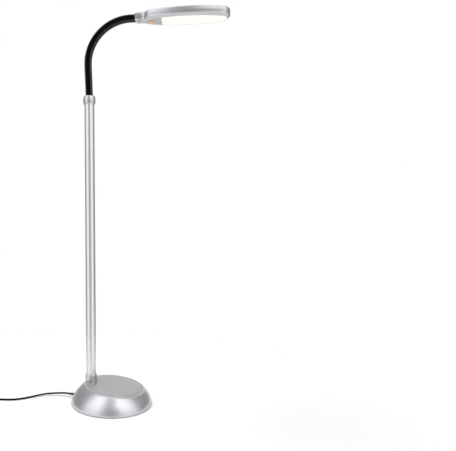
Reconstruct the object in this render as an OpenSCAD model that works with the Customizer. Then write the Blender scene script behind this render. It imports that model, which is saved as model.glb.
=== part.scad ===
// Floor reading lamp: weighted base, round pole, square ribbed gooseneck and flat lamp head.
// Frame: origin on the floor under the pole, +X the way the head points, +Z up.

/* [Base] */
// Radius of the base at its lower edge
base_r = 127; // [110:1:145]
// Height of the slanted top face above the floor, over the centre of the base
base_h = 55; // [50:1:64]
// Slope of the top face, falling towards the front
base_slope = 6; // [3:0.5:8]
// How far the wall has drawn in at the height base_draw_h
base_draw = 47; // [34:1:50]
// Height at which the wall has drawn in by base_draw
base_draw_h = 66; // [60:1:74]
// How strongly the wall curves inwards: 1 is a straight cone
base_curve = 1.8; // [1.2:0.1:2.2]
// Turn of the base about the pole, against the way the head points
base_turn = 11; // [0:1:45]
// Thickness of the moulded base cover
cover_wall = 2.5; // [2:0.25:3.5]
// Height of the cover's lower edge above the floor
cover_lift = 2; // [1:0.5:2.5]
// Radius of the iron weight inside the base
weight_r = 100; // [85:1:104]
// Thickness of the iron weight
weight_h = 18; // [14:1:20]
// Thickness of the bottom plate
plate_h = 2; // [1.5:0.25:3]
// Thickness of the soft pad under the base
pad_h = 3; // [2.5:0.25:5]
// Radius of that pad
pad_r = 112; // [100:1:116]
// Distance of the bottom plate screws from the centre of the base
screw_place_r = 78; // [60:1:80]
// Radius of the bottom plate screws
screw_r = 2; // [1.5:0.25:2.5]
// Radius of the heads of those screws
screw_head_r = 4; // [3:0.25:5]

/* [Pole] */
// Distance of the pole behind the centre of the base
pole_back = 69; // [60:1:78]
// Outer diameter of the pole
pole_d = 32; // [26:0.5:34]
// Wall of the pole tube
pole_wall = 1.2; // [1:0.1:2]
// Height of the top of the pole collar above the floor
collar_top = 972; // [800:1:1100]
// Height of the pole collar
collar_h = 27; // [22:1:36]
// Diameter of the pole collar at its bulge
collar_d = 40; // [38:0.5:44]
// Height of the top of the base socket above the floor
socket_top = 84; // [80:1:100]
// Wall of the base socket
socket_wall = 2.4; // [1.5:0.1:3]
// Radius of the hollow threaded rod in the pole's foot
rod_r = 6; // [5:0.25:7]
// Radius of the bore in that rod
rod_bore_r = 3.2; // [3:0.1:4]
// Length of the plug in the pole's foot
foot_plug_h = 40; // [25:1:60]
// Width of the hexagonal nut over its corners
nut_d = 20; // [18:0.5:22]
// Thickness of that nut
nut_h = 5; // [4:0.5:6]
// Radius of the washer over the nut
washer_r = 11.5; // [10.5:0.25:12]
// Thickness of that washer
washer_h = 1.6; // [1:0.2:2]

/* [Gooseneck] */
// Width of the square ribbed sleeve over its ribs
neck_w = 22.5; // [20:0.5:24]
// Depth of the grooves between the ribs
rib_depth = 1.5; // [1:0.1:2]
// Distance from rib to rib
rib_pitch = 3.2; // [2.8:0.1:4]
// Half width of the sleeve's bore
neck_bore = 7.6; // [7.4:0.1:8.2]
// How far the corners of the sleeve are cut
neck_corner = 4.5; // [3:0.25:6]
// Length of the straight stretch above the pole collar
neck_rise = 99; // [60:1:140]
// Lean of that stretch behind the vertical
neck_lean = 2; // [0:0.5:4]
// Radius of the lower bend
lower_bend_r = 137; // [120:1:200]
// Angle of the lower bend
lower_bend_turn = 54; // [30:1:70]
// Radius of the upper bend, which turns the rest of the way to the head
upper_bend_r = 136; // [120:1:200]
// Length of the straight stretch before the head
neck_run = 14; // [14:1:40]
// Depth to which the sleeve sits in the collar and in the head
neck_seat = 8; // [5:0.5:10]
// Space between two links of the gooseneck
link_gap = 3.4; // [3.3:0.1:4]
// Radius of the balls in the conduit
ball_r = 5; // [4.5:0.1:5.2]
// Radius of the cups that hold the balls
cup_r = 7.3; // [6.8:0.1:7.3]
// Radius of the conduit between the balls
conduit_r = 4; // [3.5:0.1:4.2]
// Radius of the way for the lead inside the conduit
conduit_bore_r = 2; // [1.5:0.1:2.3]

/* [Head] */
// Rise of the head towards its tip
head_tilt = -1; // [-6:0.5:12]
// Length of the head, from the mouth of its neck socket to its tip
head_l = 293; // [270:1:340]
// Width of the head
head_w = 98; // [84:1:116]
// Radius of the head's long sides in plan
side_r = 400; // [300:10:900]
// Height of the head above its middle plane
head_top = 15.5; // [12:0.5:18]
// Depth of the head below its middle plane
head_low = 13.5; // [13:0.5:16]
// Depth of the seam between the shells below the middle plane
seam_low = 2; // [1:0.5:4]
// Wall of the two shells
shell_wall = 2; // [1.5:0.25:2.5]
// Width of the slanted bezel
bezel_w = 9; // [7:0.5:11]
// Height of the slanted bezel
bezel_h = 6.5; // [5:0.5:8]
// Width of the rounded crown of the upper shell
crown_w = 5; // [3:0.5:7]
// Height of the rounded crown of the upper shell
crown_h = 5; // [3:0.5:7]
// Length of the neck socket
ferrule_l = 31; // [28:1:44]
// Width of the neck socket
ferrule_w = 27.5; // [27:0.5:32]
// Height of the neck socket
ferrule_h = 30; // [28:0.5:33]
// Radius of the hollow between neck socket and head
ferrule_fillet = 16; // [10:1:22]
// Distance of the diffuser's straight edge from the mouth of the neck socket
diffuser_from = 84; // [76:1:100]
// Thickness of the visible part of the diffuser
diffuser_h = 1.8; // [1.2:0.1:2]
// Width of the hidden flange round the diffuser
diffuser_flange = 3; // [2:0.5:4]
// Distance of the button from the mouth of the neck socket
button_from = 50; // [46:1:60]
// Radius of the button
button_r = 8.5; // [6:0.25:10]
// Height of the button below the face of the head
button_proud = 3; // [2:0.25:4]
// Travel of the button
button_travel = 1.5; // [1:0.1:1.8]
// Distance of the neck screws from the mouth of the neck socket
neck_screw_from = 15; // [13:0.5:20]
// Distance of each neck screw from the middle of the neck socket
neck_screw_side = 7.5; // [6:0.25:9]
// Radius of the recesses for the neck screws
neck_recess_r = 2.6; // [2.2:0.1:3]
// Number of light chips along the board
led_columns = 10; // [4:1:14]
// Number of light chips across the board
led_rows = 4; // [2:1:6]

/* [Cord] */
// Diameter of the mains cord
cord_d = 5.5; // [4.5:0.1:6.5]
// Number of loops in the stored coil: an even number
coil_loops = 6; // [4:2:8]
// Radius of the innermost loop
coil_inner_r = 25; // [25:1:30]
// Free space between neighbouring loops
coil_space = 0.6; // [0.5:0.1:1]
// Width of the tie round the coil
tie_w = 8; // [5:0.5:12]
// Length of the plug's body
plug_l = 40; // [30:1:50]
// Width of the plug's body
plug_w = 24; // [20:1:30]

/* [Hidden] */

// Clearance of a fixed fit, and of a running fit
fit = 0.1;
running = 0.06;
// Thin overlap that makes a cut pass through a face
cut = 1;
// Arc smoothness of the exact solids
$fn = 96;

SILVER = "#b9bcc0";
GREY = "#a3a6a8";
BLACK = "#161616";
STEEL = "#8d9094";

// Levels inside the base
plate_z = pad_h;
weight_z = plate_z + plate_h;
weight_top = weight_z + weight_h;
pole_r = pole_d / 2;
pole_inner_r = pole_r - pole_wall;
socket_r = pole_r + fit + socket_wall;
nut_room_r = washer_r + 1;
nut_room_h = nut_h + washer_h + 1;
wall_steps = 14;
screw_count = 4;

// Pole collar and the seat of the gooseneck in it
collar_bottom = collar_top - collar_h;
sleeve_opening = neck_w + 2 * fit;
neck_plug_z = collar_bottom - 22;
neck_plug_top = collar_top - neck_seat - neck_w / 2 * sin(neck_lean) - fit;
core_seat = 12;

// Gooseneck path: a leaning rise, two bends and a short run, walked by its length s
links = 8;
start_dir = 90 + neck_lean;
mid_dir = start_dir - lower_bend_turn;
end_dir = head_tilt;
lower_to = neck_rise + lower_bend_r * lower_bend_turn * PI / 180;
upper_to = lower_to + upper_bend_r * (mid_dir - end_dir) * PI / 180;
neck_l = upper_to + neck_run;
link_l = neck_l / links;

function ahead(d) = [cos(d), sin(d)];
function bent(p, r, from, to) = p + r * [sin(from) - sin(to), cos(to) - cos(from)];

rise_end = [0, collar_top] + neck_rise * ahead(start_dir);
lower_end = bent(rise_end, lower_bend_r, start_dir, mid_dir);
upper_end = bent(lower_end, upper_bend_r, mid_dir, end_dir);

function neck_dir(s) =
    s < neck_rise ? start_dir
    : s < lower_to ? start_dir - (s - neck_rise) / lower_bend_r * 180 / PI
    : s < upper_to ? mid_dir - (s - lower_to) / upper_bend_r * 180 / PI
    : end_dir;

function neck_point(s) =
    s < neck_rise ? rise_end - (neck_rise - s) * ahead(start_dir)
    : s < lower_to ? bent(rise_end, lower_bend_r, start_dir, neck_dir(s))
    : s < upper_to ? bent(lower_end, upper_bend_r, mid_dir, neck_dir(s))
    : upper_end + (s - upper_to) * ahead(end_dir);

// Place of the pivot below link i, as a length along the path
function pivot(i) = (i - 0.5) * link_l;

// Head levels, in the head's own frame: x from the mouth of the neck socket, z up
face_z = -head_low;
floor_z = face_z + shell_wall;
mouth = neck_point(neck_l);
head_r = head_w / 2;
oval_bite = 0.2;
oval_from = ferrule_l - 4 + oval_bite;
oval_half = (head_l - oval_bite - oval_from) / 2;
side_back = side_r - head_r;
touch_r = (pow(side_r, 2) - pow(oval_half, 2) - pow(side_back, 2)) / (2 * (side_r - oval_half));
end_r = touch_r + oval_bite;
near_x = oval_from + touch_r;
mid_x = oval_from + oval_half;
tip_x = mid_x + oval_half - touch_r;
ferrule_channel = ferrule_l - 2;
fillet_bite = 0.2;
fillet_y = ferrule_w / 2 + ferrule_fillet;
fillet_x = near_x - sqrt(pow(end_r + ferrule_fillet, 2) - pow(fillet_y, 2));
diffuser_inset = bezel_w + 1;
floor_inset = bezel_w - 1;
top_room_z = head_top - shell_wall;
board_h = 1.6;
board_z = 1;
board_inset = shell_wall + 6;
post_r = 3;
led_w = 5;
led_h = 0.8;
button_room_r = button_r + 0.3;
button_flange_r = button_r + 1.5;
button_flange_h = 1;
switch_w = 7;
switch_h = 5;
stem_r = 1.75;
stem_grip = 2;
button_back_z = floor_z + 0.3 + button_flange_h;
switch_room = button_travel + 0.2;
switch_z = button_back_z + switch_room;
control_z = switch_z + switch_h;
control_l = 30;
control_w = 24;
control_post_r = 2.5;

// Cord: route of the stretch that isn't coiled, chosen by hand
gland_z = 10;
gland_flange_r = 5;
gland_flange_from = wall_r(gland_z - gland_flange_r) - wall_r(gland_z) + fit;
gland_flange_h = 1.8;
gland_flange_to = gland_flange_from + gland_flange_h;
gland_l = 22;
cord_r = cord_d / 2;
coil_pitch = cord_d + coil_space;
coil_turns = coil_loops / 2;
coil_outer_r = coil_inner_r + (coil_turns - 0.5) * coil_pitch;
tie_h = 0.5;
tie_room = 0.3;
coil_low = cord_r + tie_h + tie_room;
coil_start = [-365, -57, coil_low];
coil_centre = [coil_start.x, coil_start.y + coil_outer_r, coil_low];
route = [
    [-107, 18.5, 9], [-126, 17, 8], [-146, 13, 7], [-168, 4.5, 5.5], [-191, -11, 4], [-214, -28, 3.5],
    [-238, -41.5, 3.5], [-261, -47, 3.5], [-288, -50, 3.5], [-312, -53, 3.5], [-335, -55.5, 3.55]
];
base_centre = pole_back * [cos(base_turn), -sin(base_turn), 0];
gland_dir = [-cos(base_turn), sin(base_turn), 0];
gland_from = base_centre + wall_r(gland_z) * gland_dir + [0, 0, gland_z];
gland_to = gland_from + (gland_flange_to + gland_l) * gland_dir;

// Radius of the base wall at a height
function wall_r(z) = base_r - base_draw * pow(z / base_draw_h, base_curve);

// Turns the Z axis along a direction
module along(direction) {
    flat = norm([direction.x, direction.y]);
    rotate([0, atan2(flat, direction.z), atan2(direction.y, direction.x)]) children();
}

// A tube through rings of equal point counts: the rings are joined in order and the ends are closed
module ring_tube(rings) {
    sides = len(rings[0]);
    last = len(rings) - 1;
    points = [for (ring = rings) each ring];
    walls = [for (k = [0 : last - 1], j = [0 : sides - 1])
        let (a = k * sides + j, b = k * sides + (j + 1) % sides)
        each [[a, b, b + sides], [a, b + sides, a + sides]]];
    caps = concat(
        [for (j = [1 : sides - 2]) [0, j + 1, j]],
        [for (j = [1 : sides - 2]) [last * sides, last * sides + j, last * sides + j + 1]]);
    polyhedron(points, concat(walls, caps));
}

// A closed sleeve: its rings run out along the outside and back along the bore
module ring_sleeve(rings) {
    sides = len(rings[0]);
    count = len(rings);
    points = [for (ring = rings) each ring];
    polyhedron(points, [for (k = [0 : count - 1], j = [0 : sides - 1])
        let (n = (k + 1) % count, a = k * sides + j, b = k * sides + (j + 1) % sides,
             c = n * sides + (j + 1) % sides, d = n * sides + j)
        each [[a, b, c], [a, c, d]]]);
}

// A round ring of points about a centre, square to a direction
function round_ring(centre, direction, radius, sides) =
    let (d = direction / norm(direction),
         side = cross([0, 0, 1], d) / norm(cross([0, 0, 1], d)),
         up = cross(d, side))
    [for (j = [0 : sides - 1]) let (t = (j + 0.5) * 360 / sides)
        centre + radius * (cos(t) * side + sin(t) * up)];

// A smooth point between points a and b of a list, at a share t
function smooth(p, i, t) =
    let (a = p[max(i - 1, 0)], b = p[i], c = p[i + 1], d = p[min(i + 2, len(p) - 1)])
    0.5 * (2 * b + (c - a) * t + (2 * a - 5 * b + 4 * c - d) * pow(t, 2)
        + (3 * b - a - 3 * c + d) * pow(t, 3));

// A direction of each point of a list, from its neighbours
function along_list(p, i) = p[min(i + 1, len(p) - 1)] - p[max(i - 1, 0)];

// BASE

// Puts children in the base's frame: its centre is the origin there, and the pole is behind it
module in_base() {
    rotate(-base_turn) translate([pole_back, 0, 0]) children();
}

// Outline of the base wall, drawn in by a wall thickness
module wall_profile(inset) {
    top = base_draw_h + 8;
    polygon(concat(
        [[0, 0]],
        [for (k = [0 : wall_steps]) let (z = top * k / wall_steps) [wall_r(z) - inset, z]],
        [[0, top]]));
}

// The base's solid form below its slanted face, lowered by a depth
module base_form(inset, depth) {
    intersection() {
        rotate_extrude() wall_profile(inset);
        translate([0, 0, base_h - depth]) rotate([0, base_slope, 0])
            translate([-2 * base_r, -2 * base_r, -base_r])
                cube([4 * base_r, 4 * base_r, base_r]);
    }
}

module base_cover() {
    color(SILVER)
    in_base() difference() {
        base_form(0, 0);
        base_form(cover_wall, cover_wall);
        translate([0, 0, -cut]) cylinder(r = base_r + cut, h = cover_lift + cut);
        translate([-pole_back, 0, weight_top]) cylinder(r = socket_r + fit, h = base_r);
        translate([-wall_r(gland_z) - 12, 0, gland_z]) rotate([0, 90, 0])
            cylinder(r = cord_r + 1 + fit, h = 24);
    }
}

module base_weight() {
    color(STEEL)
    in_base() difference() {
        translate([0, 0, weight_z]) cylinder(r = weight_r, h = weight_h);
        translate([-pole_back, 0, 0]) {
            cylinder(r = rod_r + fit, h = weight_top + cut);
            cylinder(r = nut_room_r, h = weight_z + nut_room_h);
        }
        at_screws() cylinder(r = screw_r, h = weight_z + 10);
    }
}

module at_screws() {
    for (k = [0 : screw_count - 1]) rotate(45 + k * 360 / screw_count)
        translate([screw_place_r, 0, 0]) children();
}

module base_bottom_plate() {
    color(STEEL)
    in_base() difference() {
        translate([0, 0, plate_z])
            cylinder(r = wall_r(plate_z + plate_h) - cover_wall - fit, h = plate_h);
        translate([-pole_back, 0, 0]) cylinder(r = nut_room_r, h = weight_z + cut);
        at_screws() cylinder(r = screw_r + fit, h = weight_z + cut);
    }
}

module floor_pad() {
    color(BLACK)
    in_base() difference() {
        cylinder(r = pad_r, h = pad_h);
        at_screws() translate([0, 0, -cut]) cylinder(r = screw_head_r + 0.5, h = pad_h + 2 * cut);
    }
}

module base_screws() {
    color(STEEL)
    in_base() at_screws() {
        translate([0, 0, plate_z - 1.6]) cylinder(r = screw_head_r, h = 1.6);
        translate([0, 0, plate_z - 0.5]) cylinder(r = screw_r, h = plate_h + 9);
    }
}

module driver_case() {
    color(BLACK)
    in_base() translate([-5, -22, weight_top]) cube([62, 44, 15]);
}

// POLE

module pole_socket() {
    color(SILVER)
    difference() {
        union() {
            translate([0, 0, weight_top]) cylinder(r = socket_r, h = socket_top - weight_top - 2);
            translate([0, 0, socket_top - 2])
                cylinder(r1 = socket_r, r2 = socket_r - 1.2, h = 2);
        }
        cylinder(r = pole_r + fit, h = socket_top + cut);
    }
}

module pole_tube() {
    color(SILVER)
    translate([0, 0, weight_top]) difference() {
        cylinder(r = pole_r, h = collar_bottom + 6 - weight_top);
        translate([0, 0, -cut]) cylinder(r = pole_inner_r, h = collar_top);
    }
}

module pole_foot_plug() {
    color(STEEL)
    translate([0, 0, weight_top]) difference() {
        cylinder(r = pole_inner_r - running, h = foot_plug_h);
        translate([0, 0, -cut]) cylinder(r = rod_r + running, h = foot_plug_h + 2 * cut);
    }
}

module pole_threaded_rod() {
    rod_from = weight_z + 0.5;
    color(STEEL)
    translate([0, 0, rod_from]) difference() {
        cylinder(r = rod_r, h = weight_top + foot_plug_h + 4 - rod_from);
        translate([0, 0, -cut]) cylinder(r = rod_bore_r, h = base_r);
    }
}

module pole_nut() {
    color(STEEL)
    translate([0, 0, weight_z + nut_room_h - washer_h - nut_h]) difference() {
        cylinder(d = nut_d, h = nut_h, $fn = 6);
        translate([0, 0, -cut]) cylinder(r = rod_r + running, h = nut_h + 2 * cut);
    }
}

module pole_washer() {
    color(STEEL)
    translate([0, 0, weight_z + nut_room_h - washer_h]) difference() {
        cylinder(r = washer_r, h = washer_h);
        translate([0, 0, -cut]) cylinder(r = rod_r + running, h = washer_h + 2 * cut);
    }
}

module pole_lead() {
    lead_from = weight_z + 2;
    color(BLACK)
    translate([0, 0, lead_from]) cylinder(r = rod_bore_r - 0.3, h = neck_plug_z - lead_from);
}

// Bulged collar round the top of the pole, with a square mouth for the gooseneck
module pole_top_collar() {
    rim_r = collar_d / 2 - 1.5;
    bulge_z = collar_h / 2;
    color(SILVER)
    translate([0, 0, collar_bottom]) difference() {
        union() {
            cylinder(r1 = rim_r, r2 = collar_d / 2, h = bulge_z);
            translate([0, 0, bulge_z]) cylinder(r1 = collar_d / 2, r2 = rim_r, h = bulge_z);
        }
        translate([0, 0, -cut]) cylinder(r = pole_r + running, h = 6 + cut);
        translate([0, 0, 6 - cut]) cylinder(r = pole_inner_r, h = collar_h - 6 - neck_seat + cut);
        translate([0, 0, collar_h - neck_seat - cut]) neck_mouth(neck_seat + 2 * cut);
    }
}

// Square hole with cut corners that takes the end of the sleeve
module neck_mouth(depth) {
    half = sleeve_opening / 2 + depth * sin(neck_lean);
    flat = half - neck_corner;
    linear_extrude(height = depth) polygon([
        [half, flat], [flat, half], [-flat, half], [-half, flat],
        [-half, -flat], [-flat, -half], [flat, -half], [half, -flat]]);
}

// Plug in the pole's top that carries the lowest end of the conduit
module neck_bottom_plug() {
    color(STEEL)
    difference() {
        translate([0, 0, neck_plug_z])
            cylinder(r = pole_inner_r - running, h = neck_plug_top - neck_plug_z);
        at_neck(-neck_seat - core_seat - running) cylinder(r = conduit_r + running, h = core_seat + neck_seat);
    }
}

// GOOSENECK

// Puts children on the path: their Z axis runs along it
module at_neck(s) {
    p = neck_point(s);
    translate([p.x, 0, p.y]) rotate([0, 90 - neck_dir(s), 0]) children();
}

// Ring of eight points across the path at s: a square of a half width with cut corners
function neck_ring(s, half, corner) =
    let (p = neck_point(s), d = neck_dir(s), flat = half - corner)
    [for (q = [[half, flat], [flat, half], [-flat, half], [-half, flat],
               [-half, -flat], [-flat, -half], [flat, -half], [half, -flat]])
        [p.x + q.x * sin(d), q.y, p.y - q.x * cos(d)]];

// Ends of sleeve i along the path
function sleeve_from(i) = i == 0 ? -neck_seat : pivot(i) + link_gap / 2;
function sleeve_to(i) = i == links ? neck_l + neck_seat : pivot(i + 1) - link_gap / 2;

// Ribbed sleeve of link i: a groove ring and a rib ring for each rib, then the bore
module neck_sleeve(i) {
    from = sleeve_from(i);
    to = sleeve_to(i);
    ribs = round((to - from) / rib_pitch);
    step = (to - from) / ribs;
    bore_rings = 6;
    outside = [for (k = [0 : 2 * ribs])
        let (groove = k % 2 == 0, half = neck_w / 2 - (groove ? rib_depth : 0))
        neck_ring(from + k * step / 2, half, neck_corner)];
    bore = [for (k = [bore_rings : -1 : 0])
        neck_ring(from + k * (to - from) / bore_rings, neck_bore, neck_bore * 0.45)];
    color(BLACK) ring_sleeve(concat(outside, bore));
}

// Conduit of link i: a cup over the ball below it, and a ball at its upper end
module neck_core(i) {
    low = i == 0 ? -neck_seat - core_seat : pivot(i);
    high = i == links ? neck_l + neck_seat + 14 : pivot(i + 1);
    a = neck_point(low);
    b = neck_point(high);
    chord = [b.x - a.x, 0, b.y - a.y];
    color(STEEL)
    translate([a.x, 0, a.y]) along(chord) difference() {
        union() {
            if (i > 0) sphere(r = cup_r);
            cylinder(r = conduit_r, h = norm(chord) + (i == links ? 0 : -ball_r + 1));
            if (i < links) translate([0, 0, norm(chord)]) sphere(r = ball_r);
        }
        if (i > 0) {
            sphere(r = ball_r + running);
            translate([0, 0, -2 * cup_r + 0.4]) cylinder(r = 2 * cup_r, h = 2 * cup_r);
        }
        translate([0, 0, -cut]) cylinder(r = conduit_bore_r, h = norm(chord) + 2 * ball_r);
    }
}

// HEAD

// Puts children in the head's frame
module in_head() {
    translate([mouth.x, 0, mouth.y]) rotate([0, -head_tilt, 0]) children();
}

// Corners of the part of the plan that one of the long sides bounds: the side's arc lies inside them
function side_wedge(side) =
    let (reach = (side_r + 20) / (side_r - touch_r),
         x = reach * (tip_x - mid_x),
         y = side * side_back * (reach - 1))
    [[near_x, 0], [tip_x, 0], [mid_x + x, y], [mid_x - x, y]];

// Plan of the head's oval, drawn in by an inset: two long side arcs, and end arcs that bite into them
module head_oval(inset) {
    for (x = [near_x, tip_x]) translate([x, 0]) circle(r = end_r - inset);
    for (side = [-1, 1]) intersection() {
        translate([mid_x, -side * side_back]) circle(r = side_r - inset, $fn = 720);
        polygon(side_wedge(side));
    }
}

// Hollow corners where the neck socket runs into the oval
module ferrule_fillets() {
    share = end_r / (end_r + ferrule_fillet);
    for (side = [-1, 1]) difference() {
        polygon([[fillet_x, 0], [fillet_x, side * ferrule_w / 2],
            [near_x + share * (fillet_x - near_x), side * share * fillet_y], [near_x, 0]]);
        translate([fillet_x, side * fillet_y]) circle(r = ferrule_fillet + fillet_bite);
    }
}

// Plan of the neck socket with its hollow corners
module ferrule_plan() {
    translate([0, -ferrule_w / 2]) square([near_x, ferrule_w]);
    ferrule_fillets();
}

// A slab of a plan between two heights
module slab(low, high) {
    translate([0, 0, low]) linear_extrude(height = high - low) children();
}

// The square way for the gooseneck and its plug in the neck socket
module neck_channel() {
    half = sleeve_opening / 2;
    translate([-cut, -half, -half]) cube([ferrule_channel + cut, 2 * half, 2 * half]);
}

// A tapered oval between two heights, drawn in by an inset at each
module oval_taper(low, high, low_inset, high_inset) {
    for (x = [near_x, tip_x]) translate([x, 0, low])
        cylinder(r1 = end_r - low_inset, r2 = end_r - high_inset, h = high - low);
    for (side = [-1, 1]) intersection() {
        translate([mid_x, -side * side_back, low])
            cylinder(r1 = side_r - low_inset, r2 = side_r - high_inset, h = high - low, $fn = 720);
        slab(low, high) polygon(side_wedge(side));
    }
}

module head_top_shell() {
    color(SILVER)
    in_head() difference() {
        union() {
            slab(-seam_low, head_top - crown_h) head_oval(0);
            oval_taper(head_top - crown_h, head_top, 0, crown_w);
            slab(-seam_low, ferrule_h / 2) ferrule_plan_short();
            slab(-seam_low, head_top - crown_h) ferrule_plan();
        }
        difference() {
            union() {
                slab(-seam_low - cut, head_top - crown_h) head_oval(shell_wall);
                slab(-seam_low - cut, top_room_z) head_oval(crown_w + 1);
            }
            top_posts();
        }
        neck_channel();
    }
}

// Plan of the straight stretch of the neck socket, up to where the oval is as high
module ferrule_plan_short() {
    translate([0, -ferrule_w / 2]) square([ferrule_l + 6, ferrule_w]);
}

// Posts under the roof of the upper shell that carry the light board
module top_posts() {
    for (x = [near_x + 25, tip_x - 5], y = [-head_r / 2, head_r / 2])
        translate([x, y, board_z + board_h]) cylinder(r = post_r, h = head_top);
}

// Plan of the diffuser, grown by a margin: the oval with a straight edge near the neck
module diffuser_plan(margin) {
    intersection() {
        head_oval(diffuser_inset - margin);
        translate([diffuser_from - margin, -head_w]) square([head_l, 2 * head_w]);
    }
}

module head_bottom_shell() {
    color(SILVER)
    in_head() difference() {
        union() {
            slab(face_z + bezel_h, -seam_low) head_oval(0);
            oval_taper(face_z, face_z + bezel_h, bezel_w, 0);
            slab(-ferrule_h / 2, -seam_low) ferrule_plan_short();
            slab(face_z + 1, -seam_low) ferrule_plan();
        }
        difference() {
            union() {
                slab(face_z + bezel_h + 0.5, -seam_low + cut) head_oval(shell_wall);
                slab(floor_z, -seam_low + cut) head_oval(floor_inset);
            }
            control_posts();
        }
        slab(face_z - cut, floor_z + cut) diffuser_plan(fit);
        translate([button_from, 0, -ferrule_h]) cylinder(r = button_room_r, h = ferrule_h + floor_z + cut);
        neck_channel();
        at_neck_screws() {
            translate([0, 0, -ferrule_h / 2 - cut]) cylinder(r = neck_recess_r, h = cut + 1.8);
            translate([0, 0, -ferrule_h / 2]) cylinder(r = 1.5 + fit, h = 6);
        }
    }
}

module control_posts() {
    for (end = [-1, 1], side = [-1, 1])
        translate([button_from + end * (control_l / 2 - control_post_r),
            side * (control_w / 2 - control_post_r), face_z + 0.5])
            cylinder(r = control_post_r, h = control_z - face_z - 0.5);
}

module at_neck_screws() {
    for (side = [-1, 1]) translate([neck_screw_from, side * neck_screw_side, 0]) children();
}

module neck_screws() {
    seat_z = -ferrule_h / 2 + 1.8;
    color(STEEL)
    in_head() at_neck_screws() {
        translate([0, 0, seat_z - 1.2]) cylinder(r = neck_recess_r - 0.2, h = 1.2);
        translate([0, 0, seat_z - 0.5]) cylinder(r = 1.5, h = 8);
    }
}

// Block in the neck socket that grips the end of the conduit and takes the neck screws
module neck_top_plug() {
    half = sleeve_opening / 2 - fit;
    color(STEEL)
    in_head() difference() {
        translate([neck_seat + fit, -half, -half])
            cube([ferrule_channel - neck_seat - fit, 2 * half, 2 * half]);
        translate([neck_seat - cut, 0, 0]) rotate([0, 90, 0])
            cylinder(r = conduit_r + running, h = ferrule_l);
        at_neck_screws() translate([0, 0, -ferrule_h / 2]) cylinder(r = 1.5, h = 10.5);
    }
}

module diffuser() {
    color("#fff6dc")
    in_head() {
        slab(floor_z - diffuser_h, floor_z) diffuser_plan(0);
        slab(floor_z, floor_z + 1.5) intersection() {
            diffuser_plan(diffuser_flange);
            head_oval(floor_inset + fit);
        }
    }
}

module led_board() {
    color("#d8d8d4")
    in_head() slab(board_z, board_z + board_h) intersection() {
        head_oval(board_inset);
        translate([diffuser_from, -head_w]) square([head_l, 2 * head_w]);
    }
}

module led_chips() {
    run = tip_x - diffuser_from;
    spread = 2 * (end_r - board_inset - led_w) - 2;
    color("#f3e48a")
    in_head() for (i = [0 : led_columns - 1], j = [0 : led_rows - 1])
        translate([diffuser_from + 10 + i * run / (led_columns - 1) - led_w / 2,
            -spread / 2 + j * spread / (led_rows - 1) - led_w / 2, board_z - led_h])
            cube([led_w, led_w, led_h]);
}

module control_board() {
    color("#2c5a3a")
    in_head() translate([button_from - control_l / 2, -control_w / 2, control_z])
        cube([control_l, control_w, board_h]);
}

module tact_switch() {
    color("#303030")
    in_head() translate([button_from, 0, switch_z]) difference() {
        translate([-switch_w / 2, -switch_w / 2, 0]) cube([switch_w, switch_w, switch_h]);
        translate([0, 0, -cut]) cylinder(r = stem_r + running, h = cut + stem_grip + switch_room);
    }
}

module switch_stem() {
    color(BLACK)
    in_head() translate([button_from, 0, button_back_z]) cylinder(r = stem_r, h = switch_room + stem_grip);
}

// Round button with stepped rings, held behind the face by its flange
module button() {
    color("#e8b92c")
    in_head() translate([button_from, 0, 0]) difference() {
        union() {
            translate([0, 0, floor_z + 0.3]) cylinder(r = button_flange_r, h = button_flange_h);
            translate([0, 0, face_z - button_proud + 1])
                cylinder(r = button_r, h = floor_z + 1 - face_z + button_proud - 1);
            translate([0, 0, face_z - button_proud])
                cylinder(r1 = button_r - 1, r2 = button_r, h = 1);
        }
        translate([0, 0, face_z - button_proud - cut])
            difference() {
                cylinder(r = button_r - 2, h = cut + 0.8);
                cylinder(r = button_r - 5, h = 2 * cut);
            }
    }
}

// CORD

// Tapered strain relief with a flange outside the base wall
module cord_gland() {
    inside_l = 6;
    color(BLACK)
    translate(gland_from) along(gland_dir) difference() {
        union() {
            translate([0, 0, -inside_l]) cylinder(r = cord_r + 1, h = inside_l + gland_flange_to);
            translate([0, 0, gland_flange_from]) cylinder(r = gland_flange_r, h = gland_flange_h);
            translate([0, 0, gland_flange_to])
                cylinder(r1 = cord_r + 1.3, r2 = cord_r + 0.4, h = gland_l);
        }
        translate([0, 0, -inside_l - cut]) cylinder(r = cord_r - 1, h = inside_l);
    }
}

module cord_lead() {
    points = concat([gland_to, gland_to + 12 * gland_dir], route,
        [coil_start + [12, 0, 0], coil_start + [cord_d, 0, 0]]);
    last = len(points) - 1;
    fine = concat([for (i = [0 : last - 1], t = [0, 0.5]) smooth(points, i, t)], [points[last]]);
    ends = len(fine) - 1;
    color(BLACK) ring_tube([for (i = [0 : ends])
        round_ring(fine[i],
            i == 0 ? gland_dir : i == ends ? [-1, 0, 0] : along_list(fine, i), cord_r, 8)]);
}

// Centre of the coiled cord after a number of turns: in on the floor, then out above
function coil_share(t) = t < coil_turns ? t : coil_loops - t;
function coil_turning(t) = min(max((t - coil_turns + 0.25) / 0.5, 0), 1);
function coil_radius(t) = coil_outer_r - coil_pitch
    * (min(coil_share(t), coil_turns - 0.25) + 0.2 * sin(180 * coil_turning(t)));
function coil_climb(t) = let (u = coil_turning(t)) u * u * (3 - 2 * u);
function coil_point(t) = coil_centre + [
    coil_radius(t) * sin(-360 * t),
    -coil_radius(t) * cos(360 * t),
    coil_pitch * coil_climb(t)];

loop_rings = 24;
tail_l = coil_outer_r + cord_r + 2;
coil_points = concat(
    [coil_start + [cord_d, 0, 0]],
    [for (k = [0 : coil_loops * loop_rings]) coil_point(k / loop_rings)],
    [for (k = [1 : 3]) coil_point(coil_loops) - [tail_l * k / 3, 0, 0]]);

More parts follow.
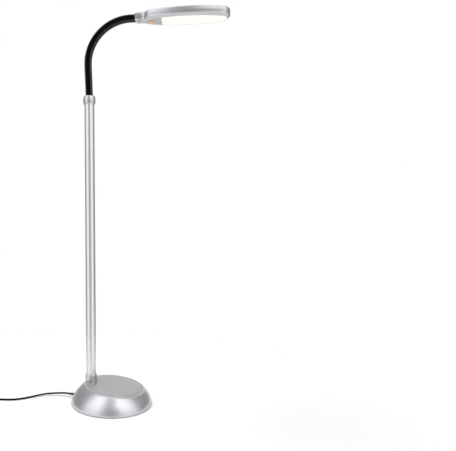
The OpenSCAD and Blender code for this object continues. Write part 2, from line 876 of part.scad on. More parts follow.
// Least gap of the coil to itself, on points half a turn or more apart
coil_gaps = [for (i = [0 : 2 : len(coil_points) - 1], j = [i + loop_rings / 2 : len(coil_points) - 1])
    norm(coil_points[i] - coil_points[j]) - cord_d];
echo(least_coil_gap_mm = min(coil_gaps));
echo(pivots_mm = [for (i = [1 : links]) concat(neck_point(pivot(i)), neck_dir(pivot(i)))]);
echo(head_mouth_mm = mouth, neck_length_mm = neck_l);

module cord_coil() {
    ends = len(coil_points) - 1;
    color(BLACK) ring_tube([for (i = [0 : ends])
        round_ring(coil_points[i],
            i == 0 || i == ends ? [-1, 0, 0] : along_list(coil_points, i), cord_r, 6)]);
}

// Band round the turns of the coil, on the side away from the plug
module cord_tie() {
    inner = coil_inner_r - cord_r - 0.8;
    outer = coil_outer_r - coil_pitch / 2 + cord_r + tie_room;
    height = cord_d + coil_pitch + 2 * tie_room;
    color("#2a2a2a")
    translate([coil_centre.x - tie_w / 2, coil_centre.y, 0]) difference() {
        translate([0, inner - tie_h, 0])
            cube([tie_w, outer - inner + 2 * tie_h, height + 2 * tie_h]);
        translate([-cut, inner, tie_h]) cube([tie_w + 2 * cut, outer - inner, height]);
    }
}

// Plug at the cord's end, on the floor
plug_from = coil_point(coil_loops) - [tail_l, 0, 0];
blade_l = 17;

module plug_body() {
    height = 2 * plug_from.z;
    nose_l = 12;
    color(BLACK)
    translate(plug_from) rotate([0, -90, 0]) {
        cylinder(r1 = cord_r + 0.6, r2 = cord_r + 2, h = nose_l);
        translate([-height / 2, -plug_w / 2, nose_l]) cube([height, plug_w, plug_l - nose_l]);
    }
}

module plug_blades() {
    color("#c9a552")
    translate(plug_from - [plug_l + blade_l, 0, 0]) for (side = [-1, 1])
        translate([0, side * 6.35 - 0.75, -3.15]) cube([blade_l, 1.5, 6.3]);
}

base_cover();
base_weight();
base_bottom_plate();
floor_pad();
base_screws();
driver_case();
pole_socket();
pole_tube();
pole_foot_plug();
pole_threaded_rod();
pole_nut();
pole_washer();
pole_lead();
pole_top_collar();
neck_bottom_plug();
cord_gland();
cord_lead();
cord_coil();
cord_tie();
plug_body();
plug_blades();
for (i = [0 : links]) {
    neck_core(i);
    neck_sleeve(i);
}
neck_top_plug();
neck_screws();
head_top_shell();
head_bottom_shell();
diffuser();
led_board();
led_chips();
control_board();
tact_switch();
switch_stem();
button();
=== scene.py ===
import math

import bmesh
import bpy
import numpy as np
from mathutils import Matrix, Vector


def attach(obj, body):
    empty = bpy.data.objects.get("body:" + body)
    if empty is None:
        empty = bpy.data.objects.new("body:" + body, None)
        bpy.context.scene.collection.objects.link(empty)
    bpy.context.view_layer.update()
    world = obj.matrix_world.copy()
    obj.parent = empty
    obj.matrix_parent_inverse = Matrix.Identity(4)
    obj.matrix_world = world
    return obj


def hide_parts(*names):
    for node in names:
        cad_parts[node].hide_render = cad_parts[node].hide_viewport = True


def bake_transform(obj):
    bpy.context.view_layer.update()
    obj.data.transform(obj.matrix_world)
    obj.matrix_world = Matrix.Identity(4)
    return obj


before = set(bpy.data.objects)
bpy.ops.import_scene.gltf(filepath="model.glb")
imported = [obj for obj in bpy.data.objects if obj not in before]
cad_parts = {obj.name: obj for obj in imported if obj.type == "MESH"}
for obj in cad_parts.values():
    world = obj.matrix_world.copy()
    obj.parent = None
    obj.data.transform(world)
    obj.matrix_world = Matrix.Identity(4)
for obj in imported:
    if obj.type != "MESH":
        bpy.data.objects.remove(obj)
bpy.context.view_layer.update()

MM = 0.001

# Image and camera
IMAGE_W = 456
FOCAL_PX = 519.0
HORIZON_UP_PX = 20.1
AXIS_LEFT_PX = 119.0
SENSOR_W = 36
CAMERA_FAR = 50
CAMERA_PLACE = (0.3315, -1.6315, 0.6220)
CAMERA_TURN = math.radians(9.4)
CAMERA_ROLL = math.radians(0.38)

# Sizes that follow the part's source, in millimetres and degrees
BASE_R, BASE_H, BASE_SLOPE = 127, 55, 6
BASE_DRAW, BASE_DRAW_H, BASE_CURVE = 47, 66, 1.8
BASE_TURN, POLE_BACK = 11, 69
COVER_LIFT = 2
POLE_R = 16
COLLAR_TOP, COLLAR_H, COLLAR_R = 972, 27, 20
SOCKET_R, SOCKET_TOP, SOCKET_FOOT = 18.5, 84, 30
NECK_W, RIB_DEPTH, NECK_ROUND = 22.5, 1.5, 4.5
NECK_RISE, NECK_LEAN, NECK_RUN = 99, 2, 14
LOWER_BEND_R, LOWER_BEND_TURN, UPPER_BEND_R = 137, 54, 136
LINKS = 8
RIBS_PER_LINK = 14
HEAD_TILT = -1
HEAD_L, HEAD_W, SIDE_R = 293, 98, 400
HEAD_TOP, HEAD_LOW, SEAM_LOW = 15.5, 13.5, 2
FERRULE_L, FERRULE_W, FERRULE_H, FERRULE_FILLET = 31, 27.5, 30, 16
OVAL_OVERLAP = 4
BEZEL_W, BEZEL_H, CROWN_W, CROWN_H = 9, 6.5, 5, 5
DIFFUSER_FROM, DIFFUSER_CORNER, DIFFUSER_RIM = 84, 9, 1
BUTTON_FROM, BUTTON_R, BUTTON_PROUD = 50, 8.5, 3
CORD_D = 5.5
GLAND_Z, GLAND_FLANGE_R, GLAND_FLANGE_H, GLAND_L = 10, 5, 1.8, 22
FIT = 0.1
COIL_LOOPS, COIL_INNER_R, COIL_SPACE, COIL_RINGS = 6, 25, 0.6, 24
COIL_CROSS, COIL_DIP, COIL_LOW = 0.5, 0.2, 3.55
COIL_START = (-365, -57)
STRAIGHT_END, TAIL_PAST = 12, 2
ROUTE = [
    (-107, 18.5, 9), (-126, 17, 8), (-146, 13, 7), (-168, 4.5, 5.5), (-191, -11, 4), (-214, -28, 3.5),
    (-238, -41.5, 3.5), (-261, -47, 3.5), (-288, -50, 3.5), (-312, -53, 3.5), (-335, -55.5, 3.55),
]


# Meshes

def put(obj):
    """An object, put into the scene."""
    bpy.context.scene.collection.objects.link(obj)
    return obj


def mesh_object(name, points, faces, smooth=True):
    """A mesh piece from points in millimetres."""
    mesh = bpy.data.meshes.new(name)
    mesh.from_pydata([[c * MM for c in p] for p in points], [], faces)
    mesh.update()
    work = bmesh.new()
    work.from_mesh(mesh)
    bmesh.ops.recalc_face_normals(work, faces=work.faces)
    work.to_mesh(mesh)
    work.free()
    for polygon in mesh.polygons:
        polygon.use_smooth = smooth
    return put(bpy.data.objects.new(name, mesh))


def loft(name, rings, cap_start=True, cap_end=True):
    """A skin over closed rings of equal length."""
    sides = len(rings[0])
    points = [p for ring in rings for p in ring]
    faces = []
    for k in range(len(rings) - 1):
        for j in range(sides):
            n = (j + 1) % sides
            faces.append((k * sides + j, k * sides + n, (k + 1) * sides + n, (k + 1) * sides + j))
    if cap_start:
        faces.append(tuple(range(sides))[::-1])
    if cap_end:
        last = (len(rings) - 1) * sides
        faces.append(tuple(range(last, last + sides)))
    return mesh_object(name, points, faces)


def circle(radius, steps):
    """Points round a circle, in plan."""
    turns = [2 * math.pi * k / steps for k in range(steps)]
    return [(radius * math.cos(t), radius * math.sin(t)) for t in turns]


def lathe(name, profile, foot, steps=96):
    """A turned piece round the pole: profile is a list of (radius, height above the foot)."""
    rings = []
    for radius, height in profile:
        rings.append([(x, y, foot + height) for x, y in circle(radius, steps)])
    return loft(name, rings)


def sharpen(obj, angle=35):
    """Keeps edges sharper than an angle crisp under smooth shading."""
    obj.data.set_sharp_from_angle(angle=math.radians(angle))
    return obj


# Materials

BROAD_NOISE, NOISE_DETAIL = 18.0, 3.0
BUMP_DEPTH = 0.0004


class Nodes:
    """A node tree with short calls."""

    def __init__(self, tree):
        self.tree = tree

    def add(self, kind, **settings):
        node = self.tree.nodes.new(kind)
        for key, value in settings.items():
            setattr(node, key, value)
        return node

    def link(self, start, end):
        self.tree.links.new(start, end)

    def noise(self, scale):
        """Noise over the piece's own coordinates."""
        place = self.add("ShaderNodeTexCoord")
        texture = self.add("ShaderNodeTexNoise")
        texture.inputs["Scale"].default_value = scale
        texture.inputs["Detail"].default_value = NOISE_DETAIL
        self.link(place.outputs["Object"], texture.inputs["Vector"])
        return texture.outputs["Fac"]

    def spread(self, value, start, end, low, high, interpolation="LINEAR"):
        """A value that goes from low to high while another goes from start to end."""
        node = self.add("ShaderNodeMapRange", interpolation_type=interpolation)
        for key, number in zip(("From Min", "From Max", "To Min", "To Max"), (start, end, low, high)):
            node.inputs[key].default_value = number
        self.link(value, node.inputs["Value"])
        return node.outputs["Result"]

    def colour(self, value, first, second):
        """A mix of two colours by a value."""
        node = self.add("ShaderNodeMix", data_type="RGBA")
        near, far = [socket for socket in node.inputs if socket.type == "RGBA"]
        near.default_value = (*first, 1)
        far.default_value = (*second, 1)
        self.link(value, node.inputs["Factor"])
        return [socket for socket in node.outputs if socket.type == "RGBA"][0]

    def bump(self, value, strength):
        """A normal that a value bumps."""
        node = self.add("ShaderNodeBump")
        node.inputs["Strength"].default_value = strength
        node.inputs["Distance"].default_value = BUMP_DEPTH
        self.link(value, node.inputs["Height"])
        return node.outputs["Normal"]

    def maths(self, operation, first, second):
        """Two values added or multiplied, 1 at most."""
        node = self.add("ShaderNodeMath", operation=operation, use_clamp=True)
        self.link(first, node.inputs[0])
        self.link(second, node.inputs[1])
        return node.outputs["Value"]

    def shown(self):
        """1 for rays that show a surface, straight or in metal and glass, and 0 for those that light it."""
        rays = self.add("ShaderNodeLightPath")
        mirrored = self.maths("ADD", rays.outputs["Is Glossy Ray"], rays.outputs["Is Transmission Ray"])
        return self.maths("ADD", rays.outputs["Is Camera Ray"], mirrored)


def new_material(name):
    """A material with its inputs and its node tree."""
    material = bpy.data.materials.new(name)
    material.use_nodes = True
    return material, material.node_tree.nodes["Principled BSDF"].inputs, Nodes(material.node_tree)


def surface(name, first, second, rough, metallic=0.0, grain=400.0, bump=0.05, specular=0.5):
    """A procedural finish: two near colours, a band of roughness and a fine bump."""
    material, inputs, nodes = new_material(name)
    fine = nodes.noise(grain)
    inputs["Metallic"].default_value = metallic
    inputs["Specular IOR Level"].default_value = specular
    nodes.link(nodes.colour(nodes.noise(BROAD_NOISE), first, second), inputs["Base Color"])
    nodes.link(nodes.spread(fine, 0, 1, *rough), inputs["Roughness"])
    nodes.link(nodes.bump(fine, bump), inputs["Normal"])
    return material


def glow(material, colour, strength, clear=0.0):
    """Gives a finish light of its own, and lets some light through."""
    inputs = material.node_tree.nodes["Principled BSDF"].inputs
    inputs["Emission Color"].default_value = (*colour, 1)
    inputs["Emission Strength"].default_value = strength
    inputs["Transmission Weight"].default_value = clear


silver = surface("satin_silver", (0.55, 0.56, 0.58), (0.61, 0.62, 0.64), (0.26, 0.36),
                 metallic=0.85, grain=900.0, bump=0.04)
pole_silver = surface("pole_silver", (0.75, 0.76, 0.78), (0.78, 0.79, 0.81), (0.30, 0.33),
                      metallic=0.9, grain=300.0, bump=0.0)
top_grey = surface("base_top_grey", (0.36, 0.365, 0.37), (0.40, 0.405, 0.41), (0.34, 0.42),
                   metallic=0.6, grain=900.0, bump=0.05)
panel_grey = surface("panel_grey", (0.50, 0.50, 0.51), (0.54, 0.54, 0.55), (0.36, 0.44),
                     metallic=0.5, grain=900.0, bump=0.04)
rubber = surface("sleeve_black", (0.002, 0.002, 0.002), (0.004, 0.004, 0.004), (0.20, 0.28),
                 grain=600.0, bump=0.02, specular=0.08)
# A lighter and far glossier copy of the sleeve's black, for the corner faces alone: painted highlight lines
# along the corners
rubber_highlight_edge = surface("sleeve_highlight_edge", (0.004, 0.004, 0.004), (0.008, 0.008, 0.008), (0.14, 0.20),
                      grain=600.0, bump=0.02, specular=1.0)
cord_black = surface("cord_black", (0.004, 0.004, 0.004), (0.008, 0.008, 0.008), (0.42, 0.52),
                     grain=500.0, bump=0.08, specular=0.04)
plastic_black = surface("plastic_black", (0.014, 0.014, 0.015), (0.024, 0.024, 0.025), (0.36, 0.46),
                        grain=700.0, bump=0.06)
pad_black = surface("pad_black", (0.016, 0.016, 0.016), (0.03, 0.03, 0.03), (0.75, 0.9),
                    grain=300.0, bump=0.3)
steel = surface("plain_steel", (0.46, 0.47, 0.48), (0.55, 0.56, 0.57), (0.24, 0.36),
                metallic=1.0, grain=500.0, bump=0.04)
iron = surface("cast_iron", (0.08, 0.08, 0.085), (0.14, 0.14, 0.145), (0.55, 0.75),
               metallic=0.8, grain=250.0, bump=0.4)
brass = surface("contact_brass", (0.66, 0.48, 0.20), (0.74, 0.56, 0.26), (0.18, 0.28),
                metallic=1.0, grain=500.0, bump=0.03)
board_white = surface("board_white", (0.80, 0.80, 0.77), (0.84, 0.84, 0.81), (0.35, 0.5), bump=0.04)
board_green = surface("board_green", (0.05, 0.14, 0.08), (0.08, 0.19, 0.11), (0.3, 0.45))
lit = surface("diffuser_lit", (0.90, 0.86, 0.78), (0.92, 0.88, 0.80), (0.30, 0.38),
              grain=500.0, bump=0.02)
glow(lit, (1.0, 0.93, 0.80), 0.55)
amber = surface("button_amber", (0.78, 0.58, 0.24), (0.86, 0.68, 0.32), (0.06, 0.12),
                grain=300.0, bump=0.02)
glow(amber, (1.0, 0.72, 0.22), 0.12, clear=0.25)


def paint(obj, *materials):
    """Gives an object these materials alone."""
    obj.data.materials.clear()
    for material in materials:
        obj.data.materials.append(material)


# Camera

camera_data = bpy.data.cameras.new("camera")
camera = put(bpy.data.objects.new("camera", camera_data))
camera_data.sensor_fit = "HORIZONTAL"
camera_data.sensor_width = SENSOR_W
camera_data.lens = SENSOR_W * FOCAL_PX / IMAGE_W
camera_data.shift_y = -HORIZON_UP_PX / IMAGE_W
camera_data.shift_x = AXIS_LEFT_PX / IMAGE_W
camera_data.clip_end = CAMERA_FAR
camera.location = CAMERA_PLACE
camera.rotation_euler = (math.pi / 2, CAMERA_ROLL, CAMERA_TURN)
bpy.context.scene.camera = camera


# Cord

ROUTE_PARTS = 4
TAIL_STEPS = 3
CORD_ROUNDING = 4


def smooth_route(points, parts):
    """Points of a smooth line through a route."""
    p = [np.array(q, float) for q in points]
    out = []
    for i in range(len(p) - 1):
        a = p[max(i - 1, 0)]
        b = p[i]
        c = p[i + 1]
        d = p[min(i + 2, len(p) - 1)]
        for t in np.arange(parts) / parts:
            out.append(0.5 * (2 * b + (c - a) * t + (2 * a - 5 * b + 4 * c - d) * t ** 2
                              + (3 * b - a - 3 * c + d) * t ** 3))
    return out + [p[-1]]


def ease(share):
    """A soft start and end for a share from 0 to 1."""
    return share * share * (3 - 2 * share)


def wall_r(z):
    """Radius of the base's wall at a height."""
    return BASE_R - BASE_DRAW * (z / BASE_DRAW_H) ** BASE_CURVE


base_turn = math.radians(BASE_TURN)


def in_base(x, y, z):
    """A point of the base's own frame in the part's frame: the pole is behind the centre of the base."""
    return ((x + POLE_BACK) * math.cos(base_turn) + y * math.sin(base_turn),
            -(x + POLE_BACK) * math.sin(base_turn) + y * math.cos(base_turn), z)


gland_reach = wall_r(GLAND_Z - GLAND_FLANGE_R) + FIT + GLAND_FLANGE_H + GLAND_L
gland_dir = np.array([-math.cos(base_turn), math.sin(base_turn), 0])
gland_to = np.array(in_base(-gland_reach, 0, GLAND_Z))
coil_pitch = CORD_D + COIL_SPACE
coil_turns = COIL_LOOPS / 2
coil_outer_r = COIL_INNER_R + (coil_turns - 0.5) * coil_pitch
coil_start = np.array([*COIL_START, COIL_LOW])
coil_centre = coil_start + np.array([0, coil_outer_r, 0])
tail_l = coil_outer_r + CORD_D / 2 + TAIL_PAST


def coil_point(t):
    """Centre of the coiled cord after t turns: in on the floor, then out above."""
    depth = t if t < coil_turns else COIL_LOOPS - t
    turning = min(max((t - coil_turns + COIL_CROSS / 2) / COIL_CROSS, 0), 1)
    inward = min(depth, coil_turns - COIL_CROSS / 2) + COIL_DIP * math.sin(math.pi * turning)
    radius = coil_outer_r - coil_pitch * inward
    angle = 2 * math.pi * t
    climb = coil_pitch * ease(turning)
    return coil_centre + np.array([-radius * math.sin(angle), -radius * math.cos(angle), climb])


free_route = ([gland_to, gland_to + STRAIGHT_END * gland_dir] + ROUTE
              + [coil_start + np.array([run, 0, 0]) for run in (STRAIGHT_END, CORD_D)])
coil_route = [coil_point(k / COIL_RINGS) for k in range(COIL_LOOPS * COIL_RINGS + 1)]
tail_runs = [tail_l * k / TAIL_STEPS for k in range(1, TAIL_STEPS + 1)]
tail_route = [coil_point(COIL_LOOPS) - np.array([run, 0, 0]) for run in tail_runs]
cord_points = smooth_route(free_route, ROUTE_PARTS) + coil_route + tail_route
cord_curve = bpy.data.curves.new("mains_cord", "CURVE")
cord_curve.dimensions = "3D"
cord_curve.bevel_depth = CORD_D / 2 * MM
cord_curve.bevel_resolution = CORD_ROUNDING
cord_curve.use_fill_caps = True
spline = cord_curve.splines.new("POLY")
spline.points.add(len(cord_points) - 1)
for target, point in zip(spline.points, cord_points):
    target.co = (*(point * MM), 1)
spline.use_smooth = True
mains_cord = put(bpy.data.objects.new("mains_cord", cord_curve))
paint(mains_cord, cord_black)
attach(mains_cord, "stand")
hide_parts("cord_lead", "cord_coil")


# Base cover

BASE_STEPS, WALL_STEPS, RIM_ROUNDS = 160, 22, 40
CENTRE_R = 2
EDGE_W, EDGE_DROP = 2.2, 0.8
# How far in from the rim and how deep: soft edge, groove and flat middle
TOP_PROFILE = ((0.35, 0.28), (EDGE_W, 0), (4.2, 0), (4.7, 0.45), (5.2, 0.45), (5.7, 0), (30, 0), (60, 0))


def top_z(x):
    """Height of the slanted top."""
    return BASE_H - x * math.tan(math.radians(BASE_SLOPE))


def rim_point(angle):
    """Where the wall meets the slanted top, at an angle round the base."""
    z = BASE_H
    for _ in range(RIM_ROUNDS):
        z = top_z(wall_r(z) * math.cos(angle))
    return wall_r(z), z


angles = [2 * math.pi * j / BASE_STEPS for j in range(BASE_STEPS)]
rims = [rim_point(a) for a in angles]
base_rings = []
for k in range(WALL_STEPS + 1):
    ring = []
    for a, (_, rim_z) in zip(angles, rims):
        z = COVER_LIFT + (rim_z - EDGE_W * EDGE_DROP - COVER_LIFT) * k / WALL_STEPS
        ring.append(in_base(wall_r(z) * math.cos(a), wall_r(z) * math.sin(a), z))
    base_rings.append(ring)
for inset, depth in TOP_PROFILE:
    ring = []
    for a, (rim_r, _) in zip(angles, rims):
        r = max(rim_r - inset, CENTRE_R)
        ring.append(in_base(r * math.cos(a), r * math.sin(a), top_z(r * math.cos(a)) - depth))
    base_rings.append(ring)
base_skin = sharpen(loft("base_skin", base_rings, cap_start=False), angle=40)
paint(base_skin, silver, top_grey)
for polygon in base_skin.data.polygons:
    if polygon.index >= (WALL_STEPS + 2) * BASE_STEPS:
        polygon.material_index = 1
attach(base_skin, "stand")
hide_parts("base_cover")


# Pole fittings

# How far in from the socket's side and down from its top: groove and soft upper edge
SOCKET_SHAPE = ((0, 7.0), (1.0, 6.6), (1.0, 5.6), (0, 5.2), (0, 2.0), (0.25, 0.9), (0.9, 0.2), (1.6, 0))
# How far in from the collar's side and up from its end
COLLAR_LIP = ((2.6, 0), (1.9, 0.5))
COLLAR_LIP_H, COLLAR_BULGE, COLLAR_STEPS = 1.2, 1.5, 12

socket_profile = [(POLE_R + FIT, SOCKET_FOOT), (SOCKET_R, SOCKET_FOOT)]
socket_profile += [(SOCKET_R - inset, SOCKET_TOP - down) for inset, down in SOCKET_SHAPE]
socket_profile.append((POLE_R + FIT, SOCKET_TOP))
socket_ring = lathe("socket_ring", socket_profile, 0)
paint(sharpen(socket_ring), silver)
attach(socket_ring, "stand")
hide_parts("pole_socket")

collar_profile = [(POLE_R + FIT, 0)]
collar_profile += [(COLLAR_R - inset, up) for inset, up in COLLAR_LIP]
for k in range(COLLAR_STEPS + 1):
    share = k / COLLAR_STEPS
    collar_profile.append((COLLAR_R - COLLAR_BULGE * (1 - math.sin(math.pi * share)),
                           COLLAR_LIP_H + (COLLAR_H - 2 * COLLAR_LIP_H) * share))
collar_profile += [(COLLAR_R - inset, COLLAR_H - up) for inset, up in reversed(COLLAR_LIP)]
collar_profile.append((NECK_W / 2, COLLAR_H))
collar_ring = lathe("collar_ring", collar_profile, COLLAR_TOP - COLLAR_H)
paint(sharpen(collar_ring), silver)
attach(collar_ring, "stand")
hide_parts("pole_top_collar")


# Gooseneck

QUARTER_POINTS = 6
END_RIBS = 2
# Share of a rib's length and of its height
RIB_SHAPE = ((0.0, 0.0), (0.16, 0.1), (0.30, 0.78), (0.42, 1.0), (0.58, 1.0), (0.70, 0.78), (0.84, 0.1))
# Faces of each rounded corner, next to the two upright sides, that get a lighter and far glossier copy of
# the black as painted highlight lines: the first, and how many
HIGHLIGHT_FROM = (2, 0, 2, 0)
HIGHLIGHT_COUNT = 3

start_dir = math.radians(90 + NECK_LEAN)
mid_dir = start_dir - math.radians(LOWER_BEND_TURN)
end_dir = math.radians(HEAD_TILT)
lower_to = NECK_RISE + LOWER_BEND_R * (start_dir - mid_dir)
upper_to = lower_to + UPPER_BEND_R * (mid_dir - end_dir)
neck_l = upper_to + NECK_RUN
link_l = neck_l / LINKS
rib_pitch = link_l / RIBS_PER_LINK


def ahead(d):
    return np.array([math.cos(d), math.sin(d)])


def bent(point, radius, d_from, d_to):
    """Where a bend of a radius ends that turns from one direction to another."""
    return point + radius * np.array([math.sin(d_from) - math.sin(d_to), math.cos(d_to) - math.cos(d_from)])


rise_end = np.array([0, COLLAR_TOP]) + NECK_RISE * ahead(start_dir)
lower_end = bent(rise_end, LOWER_BEND_R, start_dir, mid_dir)
upper_end = bent(lower_end, UPPER_BEND_R, mid_dir, end_dir)


def neck_dir(s):
    """Direction of the neck's path at a length s along it."""
    if s < NECK_RISE:
        return start_dir
    if s < lower_to:
        return start_dir - (s - NECK_RISE) / LOWER_BEND_R
    if s < upper_to:
        return mid_dir - (s - lower_to) / UPPER_BEND_R
    return end_dir


def neck_point(s):
    """Point of the neck's path at a length s along it."""
    if s < NECK_RISE:
        return rise_end - (NECK_RISE - s) * ahead(start_dir)
    if s < lower_to:
        return bent(rise_end, LOWER_BEND_R, start_dir, neck_dir(s))
    if s < upper_to:
        return bent(lower_end, UPPER_BEND_R, mid_dir, neck_dir(s))
    return upper_end + (s - upper_to) * ahead(end_dir)


def neck_ring(s, height):
    """A square with rounded corners across the path at s, from a groove at height 0 to a rib's top at 1."""
    p = neck_point(s)
    d = neck_dir(s)
    half = NECK_W / 2 - RIB_DEPTH * (1 - height)
    corner = NECK_ROUND - RIB_DEPTH * (1 - height)
    ring = []
    for quarter in range(4):
        for k in range(QUARTER_POINTS):
            t = math.radians(90 * quarter + 90 * k / (QUARTER_POINTS - 1))
            cx = (half - corner) * (1 if quarter in (0, 3) else -1)
            cy = (half - corner) * (1 if quarter in (0, 1) else -1)
            x = cx + corner * math.cos(t)
            y = cy + corner * math.sin(t)
            ring.append((p[0] + x * math.sin(d), y, p[1] - x * math.cos(d)))
    return ring


highlight_faces = []
for quarter, first in enumerate(HIGHLIGHT_FROM):
    highlight_faces += [QUARTER_POINTS * quarter + first + k for k in range(HIGHLIGHT_COUNT)]
for i in range(1, LINKS + 1):
    first_rib = -END_RIBS if i == 1 else 0
    last_rib = RIBS_PER_LINK + (END_RIBS if i == LINKS else 0)
    start = (i - 1) * link_l
    rings = []
    for rib in range(first_rib, last_rib):
        for share, height in RIB_SHAPE:
            rings.append(neck_ring(start + (rib + share) * rib_pitch, height))
    rings.append(neck_ring(start + last_rib * rib_pitch, 0))
    piece = loft(f"ribbed_sleeve_{i}", rings, cap_start=i == 1, cap_end=i == LINKS)
    paint(piece, rubber, rubber_highlight_edge)
    # The corner faces take the lighter, glossier copy of the black: painted highlight lines along the
    # sleeve's corners
    for polygon in piece.data.polygons:
        if polygon.loop_total == 4 and polygon.index % (4 * QUARTER_POINTS) in highlight_faces:
            polygon.material_index = 1
    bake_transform(piece)
    if i == 1:
        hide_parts("neck_sleeve_0")
    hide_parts(f"neck_sleeve_{i}")


# Plan of the head

MOUTH_STEPS, FILLET_STEPS, NEAR_STEPS, SIDE_STEPS, TIP_STEPS = 7, 14, 18, 24, 32
STRAIGHT_STEPS, CORNER_STEPS = 6, 10
BUTTON_STEPS = 48
MOUTH_INSET = 0.6
SWELL_END, SWELL_L = 46, 14

tilt = math.radians(HEAD_TILT)
mouth = neck_point(neck_l)
head_r = HEAD_W / 2
oval_from = FERRULE_L - OVAL_OVERLAP
oval_half = (HEAD_L - oval_from) / 2
side_back = SIDE_R - head_r
end_r = (SIDE_R ** 2 - oval_half ** 2 - side_back ** 2) / (2 * (SIDE_R - oval_half))
near_x = oval_from + end_r
tip_x = HEAD_L - end_r
mid_x = oval_from + oval_half
side_end = math.atan2(side_back, tip_x - mid_x)
fillet_y = FERRULE_W / 2 + FERRULE_FILLET
fillet_x = near_x - math.sqrt((end_r + FERRULE_FILLET) ** 2 - fillet_y ** 2)
fillet_end = math.atan2(fillet_y, near_x - fillet_x)


def in_head(x, y, z):
    """A point of the head's own frame in the part's frame."""
    return (mouth[0] + x * math.cos(tilt) - z * math.sin(tilt), y,
            mouth[1] + x * math.sin(tilt) + z * math.cos(tilt))


def arc(centre, radius, start, end, steps):
    """Points of an arc in plan, without its first."""
    turns = [start + (end - start) * k / steps for k in range(1, steps + 1)]
    return [(centre[0] + radius * math.cos(t), centre[1] + radius * math.sin(t)) for t in turns]


def head_outline(inset):
    """Plan of the head, drawn in by an inset: neck socket, hollow corners and oval."""
    from_x = inset * MOUTH_INSET
    half = [(from_x + (fillet_x - from_x) * k / MOUTH_STEPS, FERRULE_W / 2 - inset)
            for k in range(MOUTH_STEPS + 1)]
    half += arc((fillet_x, fillet_y), FERRULE_FILLET + inset, -math.pi / 2, -fillet_end, FILLET_STEPS)
    half += arc((near_x, 0), end_r - inset, math.pi - fillet_end, math.pi - side_end, NEAR_STEPS)
    half += arc((mid_x, -side_back), SIDE_R - inset, math.pi - side_end, side_end, SIDE_STEPS)
    half += arc((tip_x, 0), end_r - inset, side_end, 0, TIP_STEPS)
    return half + [(x, -y) for x, y in reversed(half[:-1])]


def diffuser_outline(margin):
    """Plan of the diffuser: oval tip, straight edge near the neck with rounded corners."""
    inset = BEZEL_W + DIFFUSER_RIM - margin
    edge_x = DIFFUSER_FROM - margin
    corner = DIFFUSER_CORNER + margin
    reach = math.sqrt((SIDE_R - inset - corner) ** 2 - (edge_x + corner - mid_x) ** 2)
    centre = (edge_x + corner, reach - side_back)
    lean = math.atan2(reach, centre[0] - mid_x)
    half = [(edge_x, centre[1] * k / STRAIGHT_STEPS) for k in range(STRAIGHT_STEPS + 1)]
    half += arc(centre, corner, math.pi, lean, CORNER_STEPS)
    half += arc((mid_x, -side_back), SIDE_R - inset, lean, side_end, SIDE_STEPS)
    half += arc((tip_x, 0), end_r - inset, side_end, 0, TIP_STEPS)
    return half + [(x, -y) for x, y in reversed(half[1:-1])]


def button_outline(radius):
    return [(BUTTON_FROM + x, y) for x, y in circle(radius, BUTTON_STEPS)]


def socket_swell(x, z):
    """A height in the head, changed near the neck, where the socket has a height of its own."""
    grow = FERRULE_H / 2 / (HEAD_TOP if z > 0 else HEAD_LOW) - 1
    return z * (1 + grow * ease(min(max((SWELL_END - x) / SWELL_L, 0), 1)))


def head_ring(inset, z):
    return [in_head(x, y, socket_swell(x, z)) for x, y in head_outline(inset)]


# Head shells

FACE_Z = -HEAD_LOW
FACE_GAP = 0.5
SEAM_GAP = 0.35
# How far in from the side and away from the seam
SEAM_EDGE = ((3.0, 1), (0.5, 0), (0.15, 0.15), (0, 0.5))
CROWN_STEPS, TOP_INSET = 10, 8
# How far in from the side and above the bezel's outer edge
BEZEL_EDGE = ((0, 1.2), (0.3, 0.2))
# How far in and down the bezel's curve starts, and how far before its inner edge and above the face it ends
BEZEL_IN, BEZEL_DOWN = 0.9, 0.6
BEZEL_SHORT, BEZEL_OVER = 0.5, 0.15
BEZEL_SWELL, BEZEL_STEPS = 0.7, 6

top_rings = [head_ring(inset, -SEAM_LOW + SEAM_GAP + away) for inset, away in SEAM_EDGE]
for k in range(CROWN_STEPS + 1):
    t = math.pi / 2 * k / CROWN_STEPS
    top_rings.append(head_ring(CROWN_W * (1 - math.cos(t)), HEAD_TOP - CROWN_H + CROWN_H * math.sin(t)))
top_rings.append(head_ring(TOP_INSET, HEAD_TOP))
top_skin = sharpen(loft("head_top_skin", top_rings), angle=40)
paint(top_skin, silver)
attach(top_skin, "head")
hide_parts("head_top_shell")

low_rings = [head_ring(inset, -SEAM_LOW - SEAM_GAP - away) for inset, away in SEAM_EDGE]
low_rings += [head_ring(inset, FACE_Z + BEZEL_H + above) for inset, above in BEZEL_EDGE]
for k in range(BEZEL_STEPS + 1):
    share = k / BEZEL_STEPS
    inset = BEZEL_IN + (BEZEL_W - BEZEL_IN - BEZEL_SHORT) * share - BEZEL_SWELL * math.sin(math.pi * share)
    z = FACE_Z + BEZEL_OVER + (BEZEL_H - BEZEL_DOWN - BEZEL_OVER) * (1 - share)
    low_rings.append(head_ring(inset, z))
low_rings.append(head_ring(BEZEL_W, FACE_Z))
low_skin = sharpen(loft("head_low_skin", low_rings, cap_end=False), angle=40)
paint(low_skin, silver)
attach(low_skin, "head")
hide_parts("head_bottom_shell")


def flat_face(loops, z):
    """Points and faces of a flat face in the head, inside the first loop and with the others as holes."""
    work = bmesh.new()
    edges = []
    for loop in loops:
        corners = [work.verts.new(in_head(x, y, socket_swell(x, z))) for x, y in loop]
        for k in range(len(corners)):
            edges.append(work.edges.new((corners[k], corners[(k + 1) % len(corners)])))
    bmesh.ops.triangle_fill(work, edges=edges, use_beauty=True, use_dissolve=False)
    work.verts.index_update()
    points = [tuple(v.co) for v in work.verts]
    faces = [tuple(v.index for v in f.verts) for f in work.faces]
    work.free()
    return points, faces


face_loops = [head_outline(BEZEL_W), diffuser_outline(FACE_GAP), button_outline(BUTTON_R + FACE_GAP)]
face_panel = mesh_object("head_face", *flat_face(face_loops, FACE_Z), smooth=False)
paint(face_panel, panel_grey)
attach(face_panel, "head")


# Diffuser and button

